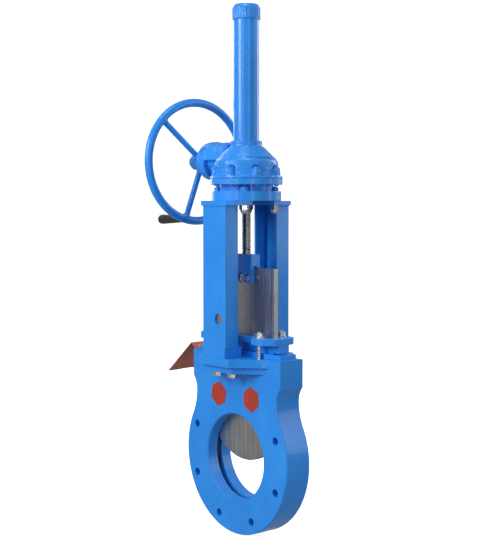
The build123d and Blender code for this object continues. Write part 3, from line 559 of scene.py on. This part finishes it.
def plate_on_curve(mesh, radius_of, low_z, high_z, start, end, thick, place=Matrix(), steps=(10, 28)):
    """Raised plate with a sloping edge on a turned surface whose radius depends on height."""
    tall, wide = steps
    rows = []
    for k in range(-1, tall + 2):
        row = []
        v = min(max(k / tall, 0.0), 1.0)
        for i in range(-1, wide + 2):
            u = min(max(i / wide, 0.0), 1.0)
            edge = k in (-1, tall + 1) or i in (-1, wide + 1)
            z = low_z + (high_z - low_z) * v
            angle = start + (end - start) * u
            spread = 0.6 * MM * (((k > tall) - (k < 0)) if edge else 0)
            r = radius_of(z) + (-1.2 * MM if edge else thick)
            row.append(place @ polar(r, angle, z + spread))
        rows.append(row)
    made = grid(mesh, rows, close_columns=False)
    border = made[0] + [row[-1] for row in made[1:]] + made[-1][-2::-1] + [row[0] for row in made[-2:0:-1]]
    cap(mesh, border)


def build_cast_pads():
    """Blank cast pads: one on the cone of the gear case, three below and behind its arm."""
    cone_low, cone_top = 661 * MM, 691 * MM
    low_r, top_r = 69 * MM, 39 * MM
    pad_low, pad_top = 667 * MM, 688 * MM
    pad_start, pad_end = math.radians(-42), math.radians(22)
    mesh = bmesh.new()

    def cone_radius(z):
        return low_r + (top_r - low_r) * (z - cone_low) / (cone_top - cone_low)

    plate_on_curve(mesh, cone_radius, pad_low, pad_top, pad_start, pad_end, 1.6 * MM)
    arm_r = 41 * MM
    along_arm = at(0, 0, centre("input_cover").z) @ Matrix.Rotation(math.radians(-90), 4, "Y")
    # Millimetres out along the arm, then degrees round from its bottom to its rear.
    for near, far, start, end in ((62, 74, 12, 66), (78, 94, -2, 40), (80, 92, 50, 88)):
        plate_on_curve(mesh, lambda z: arm_r, near * MM, far * MM, math.radians(180 - end),
                       math.radians(180 - start), 1.8 * MM, along_arm, (6, 14))
    finish_mesh("cast_pads", mesh, "valve", "blue_paint", CAST_PAINT, sharp=70)


def build_weld_beads():
    """Rippled fillet welds where the channels stand on their feet and under the head plates."""
    start_y = COLUMN_IN_Y + 2 * MM
    corners = [(-COLUMN_HALF_X, start_y), (-COLUMN_HALF_X, COLUMN_OUT_Y), (COLUMN_HALF_X, COLUMN_OUT_Y),
               (COLUMN_HALF_X, start_y)]
    steps = 50
    mesh = bmesh.new()
    for side in (-1, 1):
        for level in (FOOT_WELD_Z, HEAD_WELD_Z):
            points = [Vector((x, side * y, level)) for x, y in corners]
            run = []
            for first, last in zip(points, points[1:]):
                run += [first.lerp(last, i / steps) for i in range(steps)]
            run.append(points[-1])
            tube(mesh, run, lambda t: (1.35 + 0.3 * abs(math.sin(t * 130))) * MM, 10)
    finish_mesh("weld_beads", mesh, "valve", "blue_paint", CAST_PAINT, sharp=80)


def build_tag_wire():
    """Soft wire wound one and a half times round a gland stud and hooked through the card."""
    stud_low, stud_high = islands("gland_studs")[0]
    low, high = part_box("tag_wire")
    wire_r = 0.8 * MM
    hole_y = -21 * MM
    pin = (stud_low + stud_high) / 2
    loop_r = (stud_high.x - stud_low.x) / 2 + wire_r
    level = high.z - wire_r
    drop = 1.7 * MM
    points = []
    for i in range(55):
        turn = TURN * 1.5 * i / 54
        points.append(Vector((pin.x, pin.y, level)) + polar(loop_r, turn, -drop * turn / TURN))
    path = [points[-1], Vector((low.x + 12 * MM, pin.y + 2 * MM, level - 3 * MM)),
            Vector((low.x + 2 * MM, hole_y, low.z + 5 * MM)),
            Vector((low.x + wire_r, hole_y, low.z + 1 * MM))]
    for first, last in zip(path, path[1:]):
        points += [first.lerp(last, i / 6) for i in range(1, 7)]
    mesh = bmesh.new()
    tube(mesh, points, wire_r, 10)
    finish_mesh("tag_wire_bent", mesh, "valve", "zinc_steel", replaces=("tag_wire",))


def build_stem():
    """Left-hand trapezoidal screw with a plain end in the fork."""
    low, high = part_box("stem")
    fork_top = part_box("stem_fork")[1].z
    radius = (high.x - low.x) / 2
    plain_top = fork_top + 8 * MM
    mesh = bmesh.new()
    rod(mesh, at(0, 0, low.z), radius * 0.9, plain_top - low.z, 0.4 * MM)
    screw(mesh, at(0, 0, plain_top), high.z - plain_top, radius, radius * 0.78, STEM_LEAD, hand=-1,
          taper=1.2 * MM)
    finish_mesh("stem_screw", mesh, "gate_train", "stem_steel", replaces=("stem",))


def build_gland_fixings():
    studs = bmesh.new()
    for low, high in islands("gland_studs"):
        middle = (low + high) / 2
        threaded(studs, at(middle.x, middle.y, low.z), (high.x - low.x) / 2, high.z - low.z, 32 * MM)
    finish_mesh("gland_stud_set", studs, "valve", "zinc_steel", replaces=("gland_studs",))
    nuts = bmesh.new()
    bore = (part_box("gland_studs")[1].x - islands("gland_studs")[-1][0].x) / 2
    for turn, (low, high) in enumerate(islands("gland_nuts")):
        middle = (low + high) / 2
        washer_r = (high.x - low.x) / 2
        washer_t = 2 * MM
        washer(nuts, at(middle.x, middle.y, low.z), washer_r, bore, washer_t)
        place = at(middle.x, middle.y, low.z + washer_t) @ Matrix.Rotation(0.4 + 0.9 * turn, 4, "Z")
        nut(nuts, place, washer_r * 1.64, high.z - low.z - washer_t, bore, both_ends=True)
    finish_mesh("gland_nut_set", nuts, "valve", "zinc_steel", replaces=("gland_nuts",))


def build_ring_fixings():
    studs = bmesh.new()
    for low, high in islands("ring_studs"):
        middle = (low + high) / 2
        threaded(studs, at(middle.x, middle.y, low.z), (high.x - low.x) / 2, high.z - low.z, 22 * MM)
    finish_mesh("ring_stud_set", studs, "valve", "blue_paint", replaces=("ring_studs",))
    bore = (islands("ring_studs")[0][1].x - islands("ring_studs")[0][0].x) / 2
    nuts = bmesh.new()
    for turn, (low, high) in enumerate(islands("ring_nuts")):
        middle = (low + high) / 2
        place = at(middle.x, middle.y, low.z) @ Matrix.Rotation(0.3 + 0.7 * turn, 4, "Z")
        nut(nuts, place, NUT_ACROSS, high.z - low.z, bore)
    finish_mesh("ring_nut_set", nuts, "valve", "blue_paint", replaces=("ring_nuts",))
    domes = bmesh.new()
    for turn, (low, high) in enumerate(islands("dome_nuts")):
        middle = (low + high) / 2
        place = at(middle.x, middle.y, high.z) @ Matrix.Rotation(math.pi, 4, "X")
        place = place @ Matrix.Rotation(0.5 + 0.8 * turn, 4, "Z")
        height = high.z - low.z
        nut(domes, place, NUT_ACROSS, height * 0.5)
        dome_r = 7.9 * MM
        profile = [(dome_r, height * 0.48), (dome_r, height * 0.56)]
        profile += [(dome_r * math.cos(a), height * 0.56 + height * 0.44 * math.sin(a))
                    for a in (math.radians(9 * step) for step in range(1, 11))]
        lathe(domes, profile, place, 48)
    finish_mesh("dome_nut_set", domes, "valve", "zinc_steel", replaces=("dome_nuts",))


def build_case_bolts():
    """Hexagon screws round the case flange."""
    across, head, shank_r = CASE_BOLT
    mesh = bmesh.new()
    for turn, (low, high) in enumerate(islands("case_bolts")):
        middle = (low + high) / 2
        place = at(middle.x, middle.y, high.z - head) @ Matrix.Rotation(0.6 * turn, 4, "Z")
        nut(mesh, place, across, head, top_hollow=0.4 * MM)
        rod(mesh, at(middle.x, middle.y, low.z), shank_r, high.z - head - low.z, 0.5 * MM)
    finish_mesh("case_bolt_set", mesh, "valve", "blue_paint", replaces=("case_bolts",))


def build_cover_screws():
    """Hexagon screws on the end of the arm."""
    across, head, shank_r = COVER_SCREW
    mesh = bmesh.new()
    for turn, (low, high) in enumerate(islands("cover_screws")):
        middle = (low + high) / 2
        seat = at(low.x + head, middle.y, middle.z)
        nut(mesh, to_x(seat, -1) @ Matrix.Rotation(0.5 * turn, 4, "Z"), across, head, top_hollow=0.3 * MM)
        rod(mesh, to_x(seat), shank_r, high.x - low.x - head, 0.3 * MM)
    finish_mesh("cover_screw_set", mesh, "valve", "blue_paint", replaces=("cover_screws",))


def build_column_bolts():
    """Screws from beneath, through the ledges into the feet."""
    mesh = bmesh.new()
    for turn, (low, high) in enumerate(islands("column_bolts")):
        middle = (low + high) / 2
        seat = at(middle.x, middle.y, LEDGE_BOTTOM)
        downward = seat @ Matrix.Rotation(math.pi, 4, "X") @ Matrix.Rotation(0.7 * turn, 4, "Z")
        nut(mesh, downward, COLUMN_BOLT_ACROSS, LEDGE_BOTTOM - low.z, top_hollow=0.5 * MM)
        rod(mesh, seat, COLUMN_SHANK_R, high.z - LEDGE_BOTTOM, 0.6 * MM)
    finish_mesh("column_bolt_set", mesh, "valve", "zinc_steel", replaces=("column_bolts",))


def build_fork_fixings():
    """Bolts through the cheeks and the gate, with a washer under each head and nut."""
    washers = bmesh.new()
    for low, high in islands("fork_washers"):
        middle = (low + high) / 2
        place = to_y(at(middle.x, low.y, middle.z))
        washer(washers, place, (high.x - low.x) / 2, FORK_HOLE_R, high.y - low.y)
    finish_mesh("fork_washer_set", washers, "gate_train", "zinc_steel", replaces=("fork_washers",))
    bolts = bmesh.new()
    for low, high in islands("fork_bolts"):
        middle = (low + high) / 2
        seat = at(middle.x, low.y + FORK_BOLT_HEAD, middle.z)
        turned = to_y(seat, -1) @ Matrix.Rotation(0.3, 4, "Z")
        nut(bolts, turned, NUT_ACROSS, FORK_BOLT_HEAD, top_hollow=0.5 * MM)
        threaded(bolts, to_y(seat), FORK_BOLT_R, high.y - low.y - FORK_BOLT_HEAD, 16 * MM)
    finish_mesh("fork_bolt_set", bolts, "gate_train", "zinc_steel", replaces=("fork_bolts",))
    nuts = bmesh.new()
    for low, high in islands("fork_nuts"):
        middle = (low + high) / 2
        place = to_y(at(middle.x, low.y, middle.z)) @ Matrix.Rotation(0.2, 4, "Z")
        nut(nuts, place, NUT_ACROSS, high.y - low.y, FORK_BOLT_R, both_ends=True)
    finish_mesh("fork_nut_set", nuts, "gate_train", "zinc_steel", replaces=("fork_nuts",))


# ---------------------------------------------------------------- handwheel

WHEEL_CENTRE = centre("handwheel_rim")
WHEEL_TUBE_R = WHEEL_CENTRE.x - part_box("handwheel_rim")[0].x
WHEEL_R = WHEEL_CENTRE.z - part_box("handwheel_rim")[0].z - WHEEL_TUBE_R
HUB_R = (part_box("handwheel_hub")[1].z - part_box("handwheel_hub")[0].z) / 2


def wheel_axis(x):
    """Frame on the wheel's axis at x, its Z pointing away from the gear case."""
    return to_x(at(x, WHEEL_CENTRE.y, WHEEL_CENTRE.z), -1)


def build_rim():
    steps = 160
    circle = [WHEEL_CENTRE + Vector((0, math.cos(TURN * i / steps), math.sin(TURN * i / steps))) * WHEEL_R
              for i in range(steps)]
    mesh = bmesh.new()
    tube(mesh, circle, WHEEL_TUBE_R, 28, closed=True)
    finish_mesh("wheel_rim", mesh, "handwheel", "blue_paint", replaces=("handwheel_rim",))


def build_hub():
    low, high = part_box("handwheel_hub")
    length = high.x - low.x
    waist = HUB_R * 0.97
    profile = rounded([(HUB_R * 0.6, 0), (HUB_R, 0), (HUB_R, length * 0.3), (waist, length * 0.36),
                       (waist, length), (HUB_R * 0.6, length)], 1.6 * MM)
    mesh = bmesh.new()
    lathe(mesh, [tuple(point) for point in profile], wheel_axis(high.x), 72)
    finish_mesh("wheel_hub", mesh, "handwheel", "blue_paint", replaces=("handwheel_hub",))


def build_spokes():
    """Three round bars that slope out to the rim, with a weld fillet at both ends."""
    spoke_r = 6.8 * MM
    mesh = bmesh.new()
    for low, high in islands("handwheel_spokes"):
        offset = (low + high) / 2 - WHEEL_CENTRE
        outward = Vector((0, offset.y, offset.z)).normalized()
        root = Vector((high.x - spoke_r * 1.1, WHEEL_CENTRE.y, WHEEL_CENTRE.z)) + outward * HUB_R * 0.6
        tip = WHEEL_CENTRE + outward * (WHEEL_R - WHEEL_TUBE_R * 0.35)
        reach = (tip - root).length

        def swelling(t):
            gap = min(t * reach - HUB_R * 0.42, (1 - t) * reach - WHEEL_TUBE_R * 0.65)
            return spoke_r * (1 + 0.42 * math.exp(-max(gap, 0) / (1.8 * MM)))

        tube(mesh, [root.lerp(tip, i / 60) for i in range(61)], swelling, 24)
    finish_mesh("wheel_spokes", mesh, "handwheel", "blue_paint", replaces=("handwheel_spokes",))


def build_wheel_nut():
    low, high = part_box("hub_nut")
    mesh = bmesh.new()
    nut(mesh, wheel_axis(high.x), high.y - low.y, high.x - low.x, SHAFT_END_R, both_ends=True)
    finish_mesh("wheel_nut", mesh, "handwheel", "zinc_steel", replaces=("hub_nut",))


def build_grip():
    """Turned plastic sleeve, thicker toward its free end."""
    low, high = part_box("crank_grip")
    middle = (low + high) / 2
    length = high.x - low.x
    big = (high.y - low.y) / 2
    small = big * 0.58
    profile = rounded([(small * 0.7, 0), (small, 0), (small * 1.08, length * 0.05),
                       (big * 0.86, length * 0.55), (big, length * 0.88), (big * 0.98, length * 0.97),
                       (big * 0.72, length), (big * 0.62, length)], 3 * MM, 5)
    mesh = bmesh.new()
    lathe(mesh, [tuple(point) for point in profile], to_x(at(high.x, middle.y, middle.z), -1), 72)
    finish_mesh("grip_sleeve", mesh, "grip", "black_grip", replaces=("crank_grip",))


# ---------------------------------------------------------------- tube cap, tag

def build_tube_cap():
    """Moulded screw cap: fluted skirt under a shallow dome."""
    low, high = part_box("tube_cap")
    radius = (high.y - low.y) / 2
    height = high.z - low.z
    skirt = 0.72
    flutes = 30
    profile = [(0.90, 0.0), (0.985, 0.0), (1.0, 0.03), (1.0, 0.10), (1.0, skirt - 0.06),
               (0.995, skirt), (0.96, skirt + 0.05), (0.90, skirt + 0.08), (0.88, 0.90),
               (0.80, 0.955), (0.5, 0.99), (0.2, 1.0)]
    mesh = bmesh.new()
    segments = flutes * 10
    angles = [TURN * i / segments for i in range(segments)]
    rows = []
    for out, up in profile:
        groove = 1.1 * MM if 0.05 < up < skirt - 0.02 else 0.0
        waves = [groove * max(0.0, math.cos(angle * flutes)) ** 0.6 for angle in angles]
        rows.append([polar(radius * out - wave, angle, low.z + height * up)
                     for angle, wave in zip(angles, waves)])
    made = grid(mesh, rows)
    cap(mesh, made[0])
    cap(mesh, made[-1])
    finish_mesh("screw_cap", mesh, "valve", "blue_paint", replaces=("tube_cap",), sharp=60)


def build_tag():
    """Stiff card lying on the body's shoulder and drooping off it, a little curled."""
    low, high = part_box("tag_card")
    thick = 1.2 * MM
    peak = Vector((low.x + 0.78 * (high.x - low.x), 0, high.z - thick))
    line = [Vector((high.x, 0, COLUMN_BOTTOM)), Vector((high.x - 9 * MM, 0, COLUMN_BOTTOM)), peak,
            Vector((low.x + 1 * MM, 0, low.z + 0.5 * MM))]
    path = []
    for start, end in zip(line, line[1:]):
        steps = 12 if end is line[-1] else 5
        path += [start.lerp(end, i / steps) for i in range(steps)]
    path.append(line[-1])
    across = 16
    top, under = [], []
    for k, point in enumerate(path):
        t = k / (len(path) - 1)
        upper, lower = [], []
        for i in range(across + 1):
            w = i / across
            y = low.y + (high.y - low.y) * w
            sag = 2.2 * MM * math.sin(math.pi * w) * t + 1.2 * MM * math.sin(5 * w + 3 * t) * t
            upper.append(Vector((point.x, y, point.z + thick + sag)))
            lower.append(Vector((point.x, y, point.z + sag)))
        top.append(upper)
        under.append(lower)
    mesh = bmesh.new()
    rows = [upper + list(reversed(lower)) for upper, lower in zip(top, under)]
    made = grid(mesh, rows)
    cap(mesh, made[0])
    cap(mesh, made[-1])
    finish_mesh("tag_sheet", mesh, "valve", "tag_card", replaces=("tag_card",), sharp=50)


# ---------------------------------------------------------------- stage, light, camera

def build_stage():
    """Round pale floor that curves up into a wall all the way round."""
    floor_z = cad_low.z - 0.5 * MM
    inner, bend = 5.0, 3.0
    profile = [(inner + bend * math.sin(turn), floor_z + bend * (1 - math.cos(turn)))
               for turn in (math.pi / 2 * step / 16 for step in range(17))]
    profile.append((inner + bend, floor_z + 9.0))
    mesh = bmesh.new()
    lathe(mesh, [(0.0, floor_z)] + profile, segments=64, caps=False)
    bmesh.ops.remove_doubles(mesh, verts=mesh.verts, dist=1e-5)
    for face in mesh.faces:
        face.smooth = True
    data = bpy.data.meshes.new("floor")
    mesh.to_mesh(data)
    mesh.free()
    floor = bpy.data.objects.new("floor", data)
    bpy.context.scene.collection.objects.link(floor)
    floor.visible_diffuse = False
    floor.visible_glossy = False
    floor.visible_shadow = False
    made = Shader("floor_paper", 0.9)
    made.colour(made.mix(made.ramp(made.noise(1.2), 0.0, 1.0), (0.90, 0.90, 0.90), (0.93, 0.93, 0.93)))
    made.base.inputs["Emission Color"].default_value = (1.0, 1.0, 1.0, 1.0)
    made.base.inputs["Emission Strength"].default_value = 0.80
    paint(floor, made.material)


def area_light(name, place, target, size, power):
    data = bpy.data.lights.new(name, "AREA")
    data.shape = "RECTANGLE"
    data.size, data.size_y = size
    data.energy = power
    light = bpy.data.objects.new(name, data)
    light.location = place
    light.rotation_euler = (Vector(target) - Vector(place)).to_track_quat("-Z", "Y").to_euler()
    bpy.context.scene.collection.objects.link(light)


def build_light():
    scene = bpy.context.scene
    world = bpy.data.worlds.new("studio")
    scene.world = world
    world.use_nodes = True
    world.node_tree.nodes["Background"].inputs["Color"].default_value = (1.0, 1.0, 1.0, 1.0)
    world.node_tree.nodes["Background"].inputs["Strength"].default_value = 0.34
    target = (0.0, 0.0, 0.42)
    area_light("key", (-0.6, -3.2, 1.7), target, (1.0, 1.6), 72.0)
    area_light("strip", (0.9, -2.8, 1.0), target, (0.10, 2.4), 10.0)
    area_light("side", (2.9, -1.0, 1.1), target, (0.22, 2.6), 11.0)
    area_light("rim", (2.4, 2.2, 1.4), target, (0.6, 2.4), 12.0)
    area_light("top", (0.3, -0.5, 3.6), target, (1.2, 1.2), 22.0)
    area_light("back", (0.2, 3.4, 1.7), target, (1.4, 2.0), 46.0)
    area_light("left", (-3.2, 0.6, 1.2), target, (1.0, 2.0), 22.0)
    scene.view_settings.view_transform = "Standard"


def build_camera():
    """The camera stands 2.66 m off, 50 degrees round to the right, a little above the middle."""
    data = bpy.data.cameras.new("camera")
    data.lens = 79.47
    data.sensor_width = 36.0
    data.clip_start, data.clip_end = 0.05, 60.0
    camera = bpy.data.objects.new("camera", data)
    camera.location = (2.0368, -1.7094, 0.5723)
    camera.rotation_euler = (math.radians(90 - 3.33), 0.0, math.radians(49.82))
    bpy.context.scene.collection.objects.link(camera)
    bpy.context.scene.camera = camera


build_camera()
build_light()
build_stage()
dress_cad_nodes()
build_cast_pads()
build_weld_beads()
build_stem()
build_gland_fixings()
build_ring_fixings()
build_case_bolts()
build_cover_screws()
build_column_bolts()
build_fork_fixings()
build_rim()
build_hub()
build_spokes()
build_wheel_nut()
build_grip()
build_tube_cap()
build_tag()
build_tag_wire()
